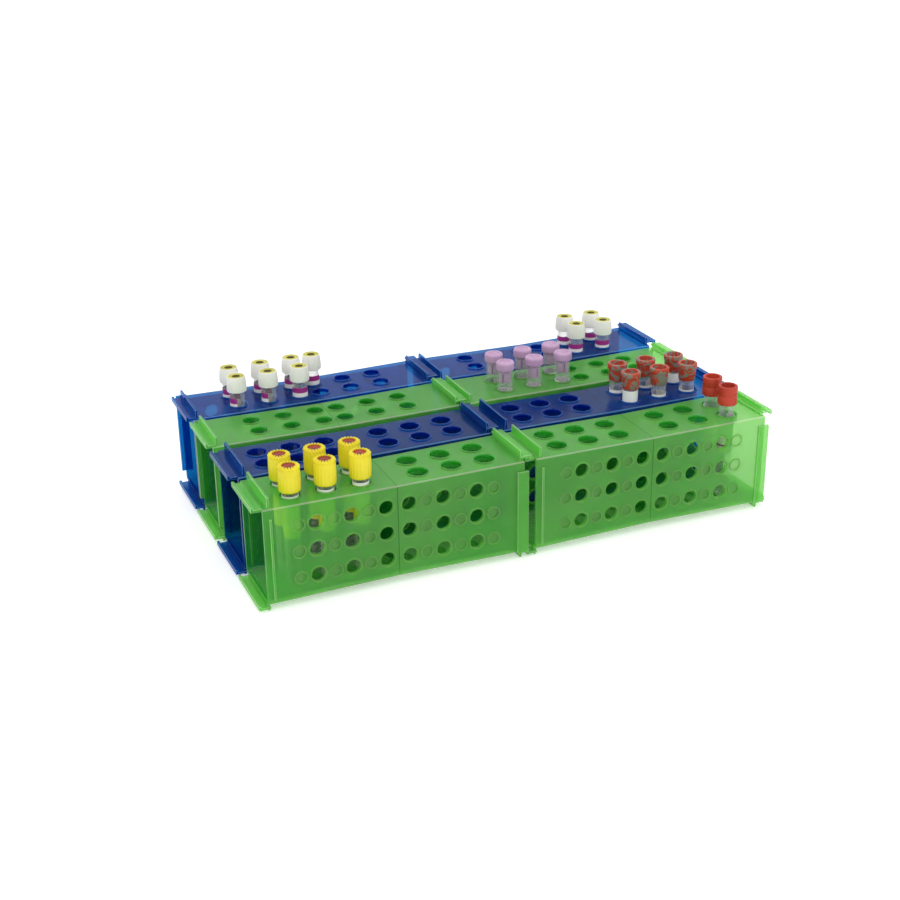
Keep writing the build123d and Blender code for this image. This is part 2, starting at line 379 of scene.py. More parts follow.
# shares of the seat's depth and of the collar's width
collarShares = dict(sunkInSeat=0.6, rounding=0.3)
hookSizes = dict(
    web=2.4, crease=0.8, cornerRound=0.9, edgeRound=0.35, skin=0.04,
    tallRidge=8.0, shortRidge=6.5, ridgeThickness=2.5, ridgeTaper=0.4, tallInset=4.2, ridgeHalfWidth=26.5,
    tabReach=8.0, tabRoot=0.6, lipRise=1.8, lip=2.2,
    flangeReach=7.4, flangeLift=2.4, flangeThickness=1.8, flangeRoot=0.3, flangeHalfWidth=29.0, lipGap=0.5,
    ribFromEnd=5.5, ribThickness=1.8, ribProud=2.0, ribTopGap=8.0, ribBottomGap=4.0, buried=1.0,
    tongueRoot=6.6, tongueReach=3.2, tongueBuried=0.6, tongueLift=0.02)


def makeSleeve():
    # open-ended sleeve with its web, drawn in a little towards the middle
    length, width, height = (rackSizes[k] for k in ("Half Length", "Half Width", "Half Height"))
    wall, waist, web = rackSizes["Wall"], rackSizes["Waist"], hookSizes["web"] / 2
    bm = bmesh.new()

    def ring(x, inset):
        drawn = waist * (1 - abs(x) / length) + inset
        return [bm.verts.new((x * mm, y * (width - drawn) * mm, z * (height - drawn) * mm))
                for y, z in ((-1, -1), (1, -1), (1, 1), (-1, 1))]

    crease = hookSizes["crease"] / 2
    outer = [ring(x, 0) for x in (-length, -crease, crease, length)]
    pairs = list(zip(outer, outer[1:]))
    corners = []
    for side in (-1, 1):
        mouth, back = ring(side * length, wall), ring(side * web, wall)
        pairs += [(outer[0 if side < 0 else 3], mouth), (mouth, back)]
        bm.faces.new(back)
    for first, second in pairs:
        for k in range(4):
            bm.faces.new((first[k], first[(k + 1) % 4], second[(k + 1) % 4], second[k]))
    bmesh.ops.recalc_face_normals(bm, faces=bm.faces)
    for first, second in pairs[:3]:
        corners += [bm.edges.get((first[k], second[k])) for k in range(4)]
    bmesh.ops.bevel(bm, geom=corners, offset=hookSizes["cornerRound"] * mm, segments=3, profile=0.5,
                    affect="EDGES")
    return meshFrom(bm, "sleeve")


def makePatternGroup():
    # copies of one shape at the six places of a hole pattern, in rows, following the drawn-in face
    tree, given, out = newTree("holePattern", "GeometryNodeTree", {
        "Shape": "Geometry", "First Place": "Float", "Pitch": "Float", "Row Spacing": "Float", "Rows": "Int",
        "Waist": "Float", "Half Length": "Float",
    }, {"Shapes": "Geometry"})
    grid = addNode(tree, "GeometryNodeMeshGrid", {
        "Size X": calc(tree, "MULTIPLY", given["Pitch"], 2.0),
        "Size Y": calc(tree, "MULTIPLY", given["Row Spacing"], calc(tree, "SUBTRACT", given["Rows"], 1.0)),
        "Vertices X": 3, "Vertices Y": given["Rows"]}).outputs[0]
    middle = calc(tree, "ADD", given["First Place"], given["Pitch"])
    both = tree.nodes.new("GeometryNodeJoinGeometry")
    for side in (1.0, -1.0):
        away = addNode(tree, "ShaderNodeCombineXYZ", {0: calc(tree, "MULTIPLY", middle, side)}).outputs[0]
        half = addNode(tree, "GeometryNodeTransform", {"Geometry": grid, "Translation": away}).outputs[0]
        tree.links.new(half, both.inputs[0])
    place = tree.nodes.new("GeometryNodeInputPosition").outputs[0]
    x = addNode(tree, "ShaderNodeSeparateXYZ", {0: place}).outputs[0]
    share = calc(tree, "SUBTRACT", 1.0, calc(tree, "DIVIDE", calc(tree, "ABSOLUTE", x), given["Half Length"]))
    drop = calc(tree, "MULTIPLY", calc(tree, "MULTIPLY", share, given["Waist"]), -1.0)
    points = addNode(tree, "GeometryNodeSetPosition", {
        "Geometry": both.outputs[0], "Offset": addNode(tree, "ShaderNodeCombineXYZ", {2: drop}).outputs[0]})
    shapes = addNode(tree, "GeometryNodeInstanceOnPoints", {
        "Points": points.outputs[0], "Instance": given["Shape"]}).outputs[0]
    tree.links.new(shapes, out["Shapes"])
    return tree


def makeRackTree():
    # cuts the hole patterns through the sleeve and puts a moulded collar round every hole
    sockets = {"Sleeve": "Geometry"}
    sockets.update({name: ("Float", 1.0) for name in rackSizes})
    sockets["Material"] = "Material"
    tree, given, out = newTree("perforatedRack", "GeometryNodeTree", sockets, {"Rack": "Geometry"})
    pattern = makePatternGroup()
    wideFirst = calc(tree, "MULTIPLY", given["Pitch"], 5 / 6)
    narrowFirst = calc(tree, "MULTIPLY", given["Pitch"], 1 / 3)
    cuts = tree.nodes.new("GeometryNodeJoinGeometry")
    whole = tree.nodes.new("GeometryNodeJoinGeometry")

    def put(shape, first, spacing, rows, turn, face, target):
        shapes = addNode(tree, "GeometryNodeGroup", {
            "Shape": shape, "First Place": first, "Pitch": given["Pitch"], "Row Spacing": spacing, "Rows": rows,
            "Waist": given["Waist"], "Half Length": given["Half Length"]}, node_tree=pattern).outputs[0]
        outwards = Vector((0, 0, 1))
        outwards.rotate(Matrix.Rotation(turn, 3, "X"))
        away = [calc(tree, "MULTIPLY", face, round(part)) for part in outwards]
        away = addNode(tree, "ShaderNodeCombineXYZ", {k: away[k] for k in range(3)}).outputs[0]
        turned = addNode(tree, "GeometryNodeTransform", {"Geometry": shapes, "Translation": away,
                                                         "Rotation": (turn, 0, 0)}).outputs[0]
        real = addNode(tree, "GeometryNodeRealizeInstances", {0: turned}).outputs[0]
        tree.links.new(real, target.inputs[0])

    halfCollar = calc(tree, "MULTIPLY", given["Collar"], 0.5)
    through = calc(tree, "ADD", given["Wall"], given["Cut Beyond"])
    sunk = calc(tree, "MULTIPLY", given["Wall"], -0.5)
    for hole, first, spacing, rows, turn, face in (  # two patterns on the plates and four on the walls
        ("Wide Hole", wideFirst, "Plate Row Spacing", 2, 0.0, "Half Height"),
        ("Narrow Hole", narrowFirst, "Plate Row Spacing", 2, math.pi, "Half Height"),
        ("Wall Hole", narrowFirst, "Wall Row Spacing", 3, math.pi / 2, "Half Width"),
        ("Wall Hole", wideFirst, "Wall Row Spacing", 3, -math.pi / 2, "Half Width"),
        ("Seat", wideFirst, "Wall Row Spacing", 3, math.pi / 2, "Half Width"),
        ("Seat", narrowFirst, "Wall Row Spacing", 3, -math.pi / 2, "Half Width"),
    ):
        blind = hole == "Seat"
        radius = calc(tree, "MULTIPLY", given[hole], 0.5)
        inset = given[{"Wide Hole": "Wide Inset", "Narrow Hole": "Narrow Inset"}.get(hole, "Wall Inset")]
        middle = calc(tree, "SUBTRACT", calc(tree, "ADD", radius, halfCollar), inset)
        cutter = addNode(tree, "GeometryNodeMeshCylinder", {
            "Vertices": holeSides, "Radius": radius if blind else middle,
            "Depth": calc(tree, "MULTIPLY", given["Seat Depth"], 2.0) if blind else through}).outputs[0]
        if not blind:
            down = addNode(tree, "ShaderNodeCombineXYZ", {2: sunk}).outputs[0]
            cutter = addNode(tree, "GeometryNodeTransform", {
                "Geometry": cutter, "Translation": down}).outputs[0]
        put(cutter, first, given[spacing], rows, turn, given[face], cuts)
        # the collar, a ring with rounded edges
        part = "Plate" if face == "Half Height" else "Wall"
        top = given[part + " Collar Rise"]
        if blind:
            deep = calc(tree, "MULTIPLY", given["Seat Depth"], collarShares["sunkInSeat"])
        else:
            deep = calc(tree, "ADD", given["Wall"], given[part + " Collar Drop"])
        path = addNode(tree, "GeometryNodeCurvePrimitiveCircle", {
            "Resolution": holeSides, "Radius": middle}).outputs[0]
        path = addNode(tree, "GeometryNodeSetCurveNormal", {"Curve": path}, mode="Z_UP").outputs[0]
        section = addNode(tree, "GeometryNodeCurvePrimitiveQuadrilateral", {
            "Width": given["Collar"], "Height": calc(tree, "ADD", top, deep)}).outputs[0]
        section = addNode(tree, "GeometryNodeFilletCurve", {
            "Curve": section, "Count": 2,
            "Radius": calc(tree, "MULTIPLY", given["Collar"], collarShares["rounding"])},
            mode="POLY").outputs[0]
        ring = addNode(tree, "GeometryNodeCurveToMesh", {"Curve": path, "Profile Curve": section}).outputs[0]
        level = calc(tree, "MULTIPLY", calc(tree, "SUBTRACT", top, deep), 0.5)
        up = addNode(tree, "ShaderNodeCombineXYZ", {2: level}).outputs[0]
        ring = addNode(tree, "GeometryNodeTransform", {"Geometry": ring, "Translation": up}).outputs[0]
        put(ring, first, given[spacing], rows, turn, given[face], whole)
    drilled = addNode(tree, "GeometryNodeMeshBoolean", {"Mesh 1": given["Sleeve"], "Mesh 2": cuts.outputs[0]},
                      operation="DIFFERENCE", solver="EXACT").outputs[0]
    tree.links.new(drilled, whole.inputs[0])
    finishTree(tree, whole.outputs[0], given["Material"], out["Rack"])
    return tree


def addBar(bm, outline, low, high, plane):
    # a bar with rounded edges: outline in millimetres in the XZ or XY plane, from low to high across it
    bar = bmesh.new()

    def place(a, b, across):
        corner = (a, across, b) if plane == "XZ" else (a, b, across)
        return [part * mm for part in corner]

    first = [bar.verts.new(place(a, b, low)) for a, b in outline]
    second = [bar.verts.new(place(a, b, high)) for a, b in outline]
    bar.faces.new(first)
    bar.faces.new(second)
    count = len(outline)
    for k in range(count):
        bar.faces.new((first[k], first[(k + 1) % count], second[(k + 1) % count], second[k]))
    bmesh.ops.recalc_face_normals(bar, faces=bar.faces)
    mark = bar.faces.layers.float.new("paintedLightAndPrint")
    made = bmesh.ops.bevel(bar, geom=list(bar.edges), offset=hookSizes["edgeRound"] * mm, segments=2,
                           profile=0.5, affect="EDGES")
    # the rounded edges get a painted highlight
    for face in made["faces"]:
        face[mark] = paintedLightAndPrintMarks["edge"]
    mesh = meshFrom(bar, "bar")
    bm.from_mesh(mesh)
    bpy.data.meshes.remove(mesh)


def addHooks(bm):
    # tab, ridges and flange of both plates, then the ribs and tongues at the ends of both walls
    h = hookSizes
    length, width, height = (rackSizes[k] for k in ("Half Length", "Half Width", "Half Height"))
    wall, thick, buried = rackSizes["Wall"], h["ridgeThickness"], h["buried"]
    for turn, ridge, inset in ((1, h["tallRidge"], h["tallInset"]), (-1, h["shortRidge"], 0)):

        def flip(points):
            return [(turn * x, turn * z) for x, z in points]

        root, tabEnd = -length + h["tabRoot"], -length - h["tabReach"]
        tabBottom, tabTop, lipTop = height - wall + h["skin"], height - h["skin"], height + h["lipRise"]
        addBar(bm, flip([
            (root, tabBottom), (tabEnd, tabBottom), (tabEnd, lipTop), (tabEnd + h["lip"], lipTop),
            (tabEnd + h["lip"], tabTop), (root, tabTop)]), -h["ridgeHalfWidth"], h["ridgeHalfWidth"], "XZ")
        for face in (-length + inset, length - thick):
            addBar(bm, flip([
                (face, height - buried), (face + thick, height - buried),
                (face + thick - h["ridgeTaper"], height + ridge), (face + h["ridgeTaper"], height + ridge)]),
                -h["ridgeHalfWidth"], h["ridgeHalfWidth"], "XZ")
        root, flangeEnd = length - thick + h["flangeRoot"], length + h["flangeReach"]
        under = height + h["flangeLift"]
        top, lipEnd = under + h["flangeThickness"], height + h["lipGap"]
        addBar(bm, flip([
            (root, under), (root, top), (flangeEnd, top), (flangeEnd, lipEnd), (flangeEnd - h["lip"], lipEnd),
            (flangeEnd - h["lip"], under)]), -h["flangeHalfWidth"], h["flangeHalfWidth"], "XZ")
    for side in (-1, 1):
        inside, proud = side * (width - buried), side * (width + h["ribProud"])
        ribX, halfRib = -length + h["ribFromEnd"], h["ribThickness"] / 2
        addBar(bm, [(ribX - halfRib, inside), (ribX + halfRib, inside), (ribX + halfRib, proud),
                    (ribX - halfRib, proud)], -height + h["ribBottomGap"], height - h["ribTopGap"], "XY")
        rootX, endX = length - h["tongueRoot"], length + h["tongueReach"]
        inside = side * (width - h["tongueBuried"])
        addBar(bm, [(rootX, inside), (endX, inside), (endX, proud), (rootX, proud)],
               -height + h["tongueLift"], height - h["ribTopGap"], "XY")


# how near a face has to be to a place on the rack, in millimetres, to be marked as part of it and given its
# painted light and shade
paintedLightReach = dict(skin=0.6, insideSkin=1.5, halfCrease=0.5, corner=1.6, tilt=0.12, depth=6.0, smallFace=80.0,
                 collarInside=0.1, collarOutside=1.6, rimInside=1.05, seatSunk=0.5, seatInside=0.05, flat=0.9)


def findPaintedLight(mesh):
    # marks painted shade on the inside, the crease and the plate collars, a painted highlight on the rounded
    # outer corners, and painted light on the wall collars, the rims round the holes and the floors of the seats
    r, s = paintedLightReach, rackSizes
    width, height = s["Half Width"], s["Half Height"]
    centres, normals = (np.zeros(len(mesh.polygons) * 3, np.float32) for _ in range(2))
    mesh.polygons.foreach_get("center", centres)
    mesh.polygons.foreach_get("normal", normals)
    x, y, z = (centres.reshape(-1, 3) / mm).T
    ny, nz = np.abs(normals.reshape(-1, 3)).T[1:]
    marks = np.zeros(len(x))
    small = np.array([face.area for face in mesh.polygons]) < r["smallFace"] * mm * mm
    drawn = s["Waist"] * (1 - np.abs(x) / s["Half Length"])
    sideways, upwards = np.abs(y) + drawn, np.abs(z) + drawn
    skin = (sideways > width - r["skin"]) | (upwards > height - r["skin"])
    inside = (np.abs(y) < width - r["insideSkin"]) & (np.abs(z) < height - r["insideSkin"])
    corner = (sideways > width - r["corner"]) & (upwards > height - r["corner"])
    marks[inside] = paintedLightAndPrintMarks["inside"]
    marks[skin & (np.abs(x) < r["halfCrease"])] = paintedLightAndPrintMarks["crease"]
    marks[corner & (ny > r["tilt"]) & (nz > r["tilt"])] = paintedLightAndPrintMarks["edge"]
    plateRows = [side * s["Plate Row Spacing"] / 2 for side in (-1, 1)]
    wallRows = [step * s["Wall Row Spacing"] for step in (-1, 0, 1)]
    clearWide, clearNarrow = s["Wide Hole"] - 2 * s["Wide Inset"], s["Narrow Hole"] - 2 * s["Narrow Inset"]
    for side, places, hole, kind in (
        (1, widePlaces, clearWide, "plate"), (-1, narrowPlaces, clearNarrow, "plate"),
        (-1, narrowPlaces, s["Wall Hole"], "wall"), (1, widePlaces, s["Wall Hole"], "wall"),
        (-1, widePlaces, s["Seat"], "seat"), (1, narrowPlaces, s["Seat"], "seat"),
    ):
        onPlate = kind == "plate"
        across, along, level, rows = (y, z, height, plateRows) if onPlate else (z, y, width, wallRows)
        near = small & (along * side > level - r["depth"])
        sunk = near & (np.abs(along) + drawn < level - r["seatSunk"]) & (ny > r["flat"])
        for place in places:
            for row in rows:
                reach = np.hypot(x - place, across - row)
                ring = near & (reach < hole / 2 + r["collarOutside"])
                inner = ring & (reach > hole / 2 - r["collarInside"])
                marks[inner] = paintedLightAndPrintMarks["collar" if onPlate else "seat"]
                marks[ring & (reach > hole / 2 + r["rimInside"])] = paintedLightAndPrintMarks["seat"]
                if kind == "seat":
                    marks[sunk & (reach < hole / 2 - r["seatInside"])] = paintedLightAndPrintMarks["seat"]
    return marks


sleeve = makeSleeve()
rackTree = makeRackTree()
rackValues = {name: value * mm for name, value in rackSizes.items()}
rackValues["Material"] = finishes["green"]
perforated = grownMesh("perforatedSleeve", sleeve, rackTree, rackValues)
markFaces(perforated, findPaintedLight(perforated))
rackBuild = bmesh.new()
rackBuild.from_mesh(perforated)
addHooks(rackBuild)
rackMesh = meshFrom(rackBuild, "rackPattern")
rackMesh.set_sharp_from_angle(angle=math.radians(35))
roundedArea = 6 * mm * mm  # larger faces are flats and stay flat
rackMesh.polygons.foreach_set("use_smooth", [face.area < roundedArea for face in rackMesh.polygons])
print("rack pattern:", len(rackMesh.polygons), "faces")

for row, (y, flipped) in layout["rows"].items():
    for column, x in layout["columns"].items():
        colour = "green" if row in ("front", "second") else "blue"
        move = Matrix.Translation((x * mm, y * mm, layout["plateMiddle"] * mm))
        if flipped:
            move = Matrix.Translation((x * mm, y * mm, (layout["envelope"] - layout["plateMiddle"]) * mm))
            move = move @ Matrix.Rotation(math.pi, 4, "Y")
        node = f"{row}_{column}_rack"
        name = f"{row}{column.capitalize()}RackShell"
        addPiece(name, placed(rackMesh, move, name), finishes[colour], node, [node], None)
print("racks placed")


tubeSizes = dict(radius=6.5, wall=1.0, length=95.0, foot=1.3, sides=40, levels=(30, 60), step=15,
                 rimSoftening=0.25, outerDrop=0.5, topDrop=0.06, innerDrop=0.4)
labelSizes = dict(thickness=0.12, gap=0.03, steps=36)


def makeTubeMesh():
    # round-bottomed tube with a softened rim; its rim is at height 0
    t = tubeSizes
    r, inner, depth, rim = t["radius"], t["radius"] - t["wall"], t["foot"], t["length"]
    outer = [(r * math.sin(a), r - r * math.cos(a)) for a in (math.radians(s) for s in range(0, 91, t["step"]))]
    hollow = [(inner * math.sin(a), depth + inner - inner * math.cos(a))
              for a in (math.radians(s) for s in range(90, -1, -t["step"]))]
    outer[0], hollow[-1] = (0, 0), (0, depth)
    low, high = t["levels"]
    soft = t["rimSoftening"]
    profile = outer + [(r, low), (r, high), (r, rim - t["outerDrop"]), (r - soft, rim - t["topDrop"]),
                       (inner + soft, rim), (inner, rim - t["innerDrop"]), (inner, high), (inner, low)] + hollow
    return meshFrom(lathe([(a, b - rim) for a, b in profile], t["sides"]), "tube")


def makeLabelMesh(top, bottom, sweep, bandTop, bandBottom):
    # a paper wrap round part of the tube, with a plain band marked on it; heights count from the rim
    r, count = tubeSizes["radius"] + labelSizes["gap"], labelSizes["steps"]
    levels = sorted({top, bottom, bandTop, bandBottom}, reverse=True)
    turns = [math.radians(-90 - sweep / 2 + sweep * k / count) for k in range(count + 1)]
    bm = bmesh.new()
    sheets = [[[bm.verts.new((radius * mm * math.cos(a), radius * mm * math.sin(a), z * mm)) for a in turns]
               for z in levels] for radius in (r, r + labelSizes["thickness"])]
    mark = bm.faces.layers.float.new("paintedLightAndPrint")
    rows = len(levels) - 1
    for level in range(rows):
        for k in range(count):
            for sheet in sheets:
                face = bm.faces.new((sheet[level][k], sheet[level][k + 1], sheet[level + 1][k + 1],
                                     sheet[level + 1][k]))
                printed = bandBottom <= levels[level + 1] and levels[level] <= bandTop
                face[mark] = paintedLightAndPrintMarks["edge"] if printed else 0.0
    under, over = sheets
    for level in (0, rows):
        for k in range(count):
            bm.faces.new((under[level][k], under[level][k + 1], over[level][k + 1], over[level][k]))
    for k in (0, count):
        for level in range(rows):
            bm.faces.new((under[level][k], under[level + 1][k], over[level + 1][k], over[level][k]))
    bmesh.ops.recalc_face_normals(bm, faces=bm.faces)
    return meshFrom(bm, "label")


def makeRibTree():
    # rounded ribs in a ring, each leaning with the surface that it stands on
    tree, given, out = newTree("ribbedRing", "GeometryNodeTree", {
        "Body": "Geometry", "Count": ("Int", 20), "Ring Radius": ("Float", 0.008), "Height": ("Float", 0.0),
        "Lean": ("Float", 0.0), "Rib Size": "Vector", "Rounding": ("Int", 1), "Material": "Material",
    }, {"Ribbed": "Geometry"})
    ring = addNode(tree, "GeometryNodeMeshCircle", {"Vertices": given["Count"], "Radius": given["Ring Radius"]})
    lift = addNode(tree, "ShaderNodeCombineXYZ", {2: given["Height"]}).outputs[0]
    points = addNode(tree, "GeometryNodeTransform", {
        "Geometry": ring.outputs[0], "Translation": lift}).outputs[0]
    block = addNode(tree, "GeometryNodeMeshCube", {"Size": given["Rib Size"]}).outputs[0]
    rib = addNode(tree, "GeometryNodeSubdivisionSurface", {
        "Mesh": block, "Level": given["Rounding"]}).outputs[0]
    lean = addNode(tree, "ShaderNodeCombineXYZ", {1: given["Lean"]}).outputs[0]
    rib = addNode(tree, "GeometryNodeTransform", {"Geometry": rib, "Rotation": lean}).outputs[0]
    place = tree.nodes.new("GeometryNodeInputPosition").outputs[0]
    spot = addNode(tree, "ShaderNodeSeparateXYZ", {0: place}).outputs
    turn = calc(tree, "ARCTAN2", spot[1], spot[0])
    facing = addNode(tree, "ShaderNodeCombineXYZ", {2: turn}).outputs[0]
    ribs = addNode(tree, "GeometryNodeInstanceOnPoints", {"Points": points, "Instance": rib,
                                                          "Rotation": facing}).outputs[0]
    both = tree.nodes.new("GeometryNodeJoinGeometry")
    tree.links.new(given["Body"], both.inputs[0])
    tree.links.new(ribs, both.inputs[0])
    finishTree(tree, both.outputs[0], given["Material"], out["Ribbed"])
    return tree


ribTree = makeRibTree()

# outlines of the closures as radius and height; height 0 is the tube's rim
yellowCap = dict(
    outline=[(0, 0), (6.8, 0), (6.8, -12.8), (7.2, -13.7), (8.0, -13.7), (8.4, -13.1), (8.55, -12.0),
             (8.5, 1.4), (8.4, 2.9), (8.15, 4.2), (7.8, 5.3), (7.45, 6.05), (7.1, 6.5), (6.75, 6.6), (6.5, 6.4),
             (6.4, 4.8), (0, 4.6)],
    sides=64,
    scallops={"Count": 18, "Ring Radius": 7.05 * mm, "Height": 6.15 * mm, "Lean": math.radians(30),
              "Rib Size": (4.8 * mm, 1.9 * mm, 2.8 * mm), "Rounding": 2},
    ribs={"Count": 20, "Ring Radius": 8.4 * mm, "Height": -4.6 * mm, "Lean": 0.0,
          "Rib Size": (0.9 * mm, 2.0 * mm, 22.0 * mm), "Rounding": 2},
)
yellowCentre = dict(
    outline=[(0, 4.5), (6.45, 4.5), (6.45, 6.1), (6.2, 6.15), (3.9, 5.7), (2.4, 5.55), (1.7, 5.2), (0.9, 5.1),
             (0, 5.05)],
    sides=40, shadedHollow=1.9,
)
whiteCap = dict(
    outline=[(0, 0), (6.8, 0), (6.8, -4.4), (7.1, -5.0), (8.2, -5.0), (8.5, -4.7), (8.55, -4.2), (7.75, 7.9),
             (7.6, 8.4), (7.3, 8.6), (7.05, 8.4), (7.0, 6.8), (0, 6.6)],
    sides=64,
    ribs={"Count": 30, "Ring Radius": 8.12 * mm, "Height": 1.8 * mm, "Lean": math.radians(-3.8),
          "Rib Size": (0.9 * mm, 1.0 * mm, 14.0 * mm), "Rounding": 1},
)
whiteInsert = dict(
    outline=[(0, 6.5), (7.05, 6.5), (7.05, 8.1), (6.8, 8.3), (3.7, 8.3), (3.5, 8.1), (3.2, 6.9), (0, 6.8)],
    sides=48, shadedHollow=3.55,
)
lilacStopper = dict(
    outline=[(0, -2.6), (4.8, -2.6), (5.35, -2.3), (5.4, 0.05), (6.3, 0.05), (6.5, 0.2), (6.5, 0.95),
             (7.8, 1.0), (8.15, 1.15), (8.2, 1.5), (8.2, 6.2), (8.0, 7.2), (7.4, 7.9), (6.4, 8.2), (5.2, 8.2),
             (4.9, 7.9), (4.6, 7.4), (1.6, 7.3), (1.4, 7.6), (0, 7.65)],
    sides=48,
    legs=dict(count=4, gap=15, inner=2.6, outer=5.4, low=-10.8, high=-2.4),
)
marbledStopper = dict(
    outline=[(0, 0), (6.7, 0), (6.7, -7.4), (6.9, -8.0), (7.2, -8.1), (7.4, -7.7), (7.75, 2.4), (8.0, 2.6),
             (8.5, 2.8), (8.6, 3.3), (8.6, 6.5), (8.35, 7.1), (7.8, 7.4), (6.4, 7.4), (6.0, 7.1), (5.4, 3.0),
             (4.8, 1.4), (0, 1.0)],
    sides=48,
)
redCap = dict(
    outline=[(0, 0), (6.8, 0), (6.8, -7.6), (7.1, -8.1), (7.9, -8.1), (8.2, -7.8), (8.3, -7.2), (8.3, -0.5),
             (8.1, -0.1), (8.1, 0.3), (8.3, 0.7), (8.3, 7.2), (8.1, 7.9), (7.6, 8.2), (6.3, 8.2), (5.9, 7.9),
             (5.3, 3.4), (4.7, 1.6), (0, 1.1)],
    sides=48,
)


def addLegs(mesh, count, gap, inner, outer, low, high, steps=8, tip=(0.35, 0.5)):
    # the split lower end of a plug: legs with gaps between them
    bm = bmesh.new()
    bm.from_mesh(mesh)
    for leg in range(count):
        start, sweep = 360 / count * leg + gap / 2, 360 / count - gap
        turns = [math.radians(start + sweep * k / steps) for k in range(steps + 1)]
        outline = ((inner, low), (outer - tip[0], low), (outer, low + tip[1]), (outer, high), (inner, high))
        arcs = [[bm.verts.new((radius * mm * math.cos(a), radius * mm * math.sin(a), z * mm)) for a in turns]
                for radius, z in outline]
        for first, second in zip(arcs, arcs[1:] + arcs[:1]):
            for k in range(steps):
                bm.faces.new((first[k], first[k + 1], second[k + 1], second[k]))
        for end in (0, steps):
            bm.faces.new([arc[end] for arc in arcs])
    bmesh.ops.recalc_face_normals(bm, faces=bm.faces)
    return meshFrom(bm, mesh.name)


closures = {}
for name, shape, finish in (("yellowCap", yellowCap, "yellow"), ("yellowCentre", yellowCentre, "darkRed"),
                            ("whiteCap", whiteCap, "white"), ("whiteInsert", whiteInsert, "olive"),
                            ("lilacStopper", lilacStopper, "lilac"),
                            ("marbledStopper", marbledStopper, "marbled"), ("redCap", redCap, "red")):
    mesh = meshFrom(lathe(shape["outline"], shape["sides"]), name)
    for ribs in ("scallops", "ribs"):
        if ribs in shape:
            mesh = grownMesh(name, mesh, ribTree, dict(shape[ribs], Material=finishes[finish]))
    if "legs" in shape:
        mesh = addLegs(mesh, **shape["legs"])
    # the darker middle is painted shade in the hollow of the cap
    if "shadedHollow" in shape:  # the darker middle
        reaches = [math.hypot(face.center.x, face.center.y) for face in mesh.polygons]
        markFaces(mesh, [paintedLightAndPrintMarks["edge"] if reach < shape["shadedHollow"] * mm else 0.0 for reach in reaches])
    closures[name] = mesh
print("closures made")

tubeMesh = makeTubeMesh()
fullLabel = dict(top=-16.4, bottom=-47.0, sweep=300, bandTop=-44.0, bandBottom=-45.5)
labels = dict(
    yellow=makeLabelMesh(**dict(fullLabel, top=-16.9, bottom=-52.0, bandTop=-19.2, bandBottom=-52.0)),
    red=makeLabelMesh(**dict(fullLabel, top=-18.4, bottom=-52.0, sweep=250)),
    marbled=makeLabelMesh(**dict(fullLabel, top=-16.6, bottom=-55.0, sweep=250)),
    marbledHigh=makeLabelMesh(**dict(fullLabel, top=-9.2, bottom=-48.0, sweep=250)),
    lilac=makeLabelMesh(**dict(fullLabel, top=-18.4, bottom=-60.0, sweep=250)),
    white=makeLabelMesh(top=-10.6, bottom=-52.0, sweep=200, bandTop=-10.6, bandBottom=-15.4),
)
highLabels = (("marbled", 3), ("marbled", 4))
# how far each wrap is turned from facing the front, in degrees
labelTurns = dict(white=[-100, -96, -104, -30, -118, -122, -22, -20, -28, -26, -24], red=[-40, 10],
                  marbled=[-60, 20, -20, -24, 40, -50], yellow=[-30, -26, 8, -20, -34, -16],
                  lilac=[30, 60, 90, 120, 150, 180])
closureParts = dict(yellow=[("yellowCap", "yellow"), ("yellowCentre", "darkRed")],
                    white=[("whiteCap", "white"), ("whiteInsert", "olive")], lilac=[("lilacStopper", "lilac")],
                    marbled=[("marbledStopper", "marbled")], red=[("redCap", "red")])
# which holes are taken: hole from the left, row 1 at the back of the rack and 0 at its front
tubeSets = [
    ("yellow", "cap", "front", "left", [(hole, line) for line in (1, 0) for hole in (1, 2, 3)]),
    ("red", "cap", "front", "right", [(6, 1), (6, 0)]),
    ("marbled", "stopper", "third", "right", [(hole, line) for line in (1, 0) for hole in (4, 5, 6)]),
    ("lilac", "stopper", "second", "right", [(hole, line) for line in (1, 0) for hole in (1, 2, 3)]),
    ("white", None, "back", "left", [(1, 1), (2, 1), (3, 1), (4, 1), (1, 0), (2, 0), (3, 0)]),
    ("white", None, "back", "right", [(5, 1), (6, 1), (5, 0), (6, 0)]),
]
chooser = random.Random(7)
closureTurn = 50
made = {}
for colour, word, row, column, holes in tubeSets:
    rowY, flipped = layout["rows"][row]
    places = narrowPlaces if flipped else widePlaces
    for hole, line in holes:
        number = made[colour] = made.get(colour, 0) + 1
        x = layout["columns"][column] + places[hole - 1]
        y = rowY + (layout["plateRow"] if line else -layout["plateRow"])
        tubeNode = f"{colour}_tube_{number}" if word else f"white_capped_tube_{number}"
        closureNode = f"{colour}_{word}_{number}" if word else tubeNode
        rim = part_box(tubeNode)[0].z / mm + tubeSizes["length"]
        at = Matrix.Translation((x * mm, y * mm, rim * mm))
        turned = at @ Matrix.Rotation(math.radians(chooser.uniform(-closureTurn, closureTurn)), 4, "Z")
        wrapped = at @ Matrix.Rotation(math.radians(labelTurns[colour][number - 1]), 4, "Z")
        stem = f"{colour}Tube{number}"
        addPiece(stem + "Glass", placed(tubeMesh, at, stem + "Glass"), finishes["glass"], tubeNode, [tubeNode],
                 50)
        paper = finishes["yellowLabel" if colour == "yellow" else "label"]
        wrap = labels["marbledHigh" if (colour, number) in highLabels else colour]
        addPiece(stem + "Label", placed(wrap, wrapped, stem + "Label"), paper, tubeNode)
        for part, finish in closureParts[colour]:
            name = f"{part}{number}"
            addPiece(name, placed(closures[part], turned, name), finishes[finish], closureNode, [closureNode])
print("tubes placed:", sum(made.values()))


